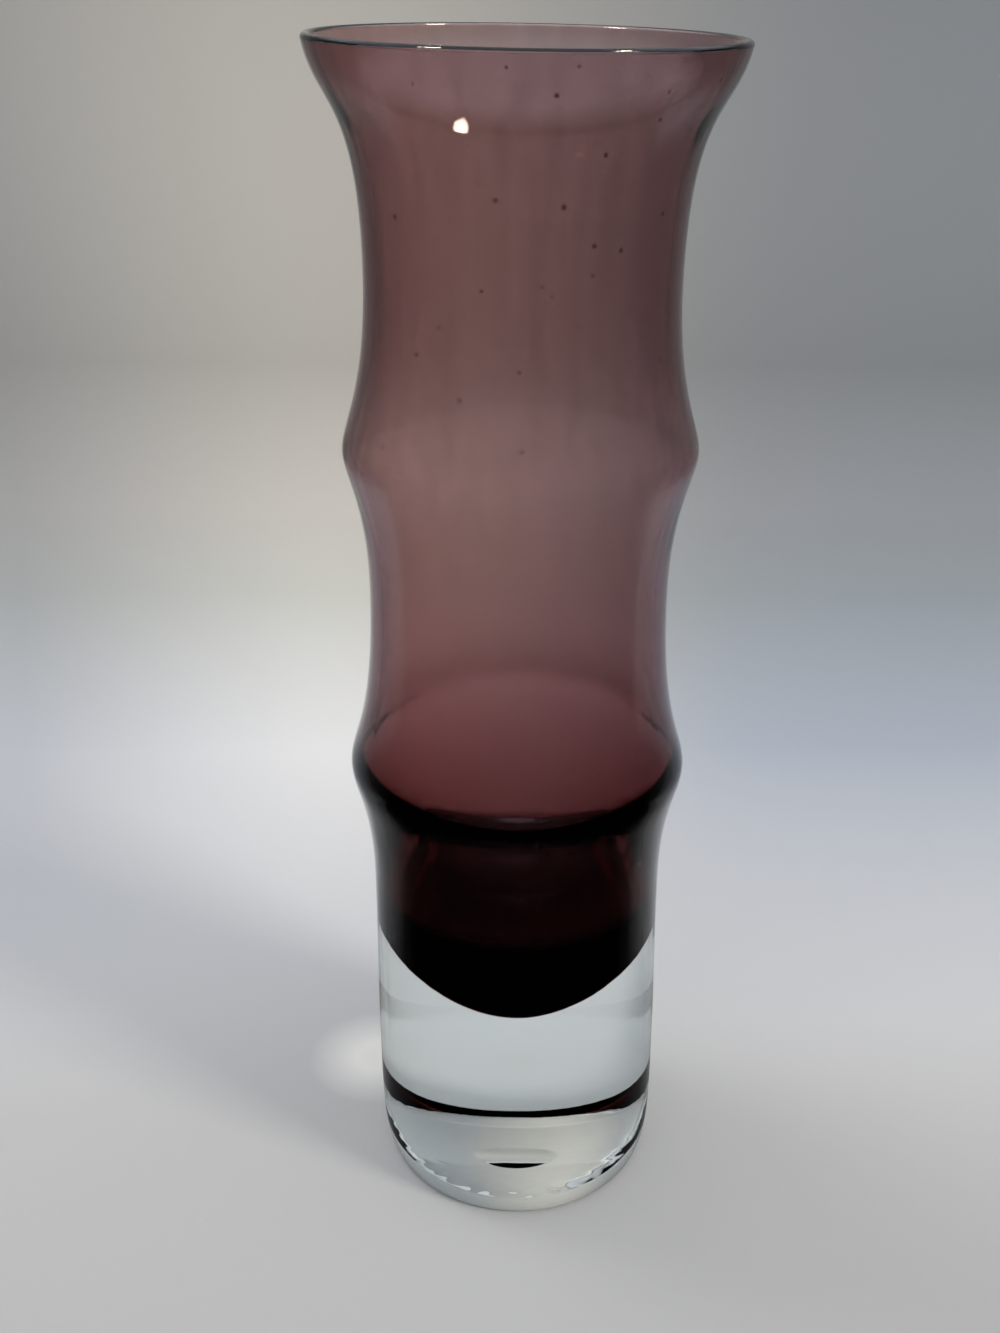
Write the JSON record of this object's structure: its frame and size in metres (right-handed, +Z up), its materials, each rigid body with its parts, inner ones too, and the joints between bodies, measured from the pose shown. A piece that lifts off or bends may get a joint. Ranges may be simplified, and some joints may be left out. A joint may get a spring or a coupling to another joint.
{
  "type": "glass bamboo vase",
  "caption": "Tall bamboo-shaped vase of cased glass: an amethyst hollow stem with ridged joints and a flared mouth, on a thick solid clear foot.",
  "frame": {"origin": "middle of the underside, on the surface that the vase stands on", "axes": "+Z up along the vase's axis of turning, towards the mouth; X and Y are any two directions across it"},
  "size_m": [0.0628, 0.0628, 0.1971],
  "materials": {
    "clear_glass": "clear fire-polished glass",
    "amethyst_glass": "transparent amethyst glass"
  },
  "bodies": {
    "root": {"clear_casing": "clear_glass", "amethyst_bubble": "amethyst_glass"}
  },
  "joints": []
}
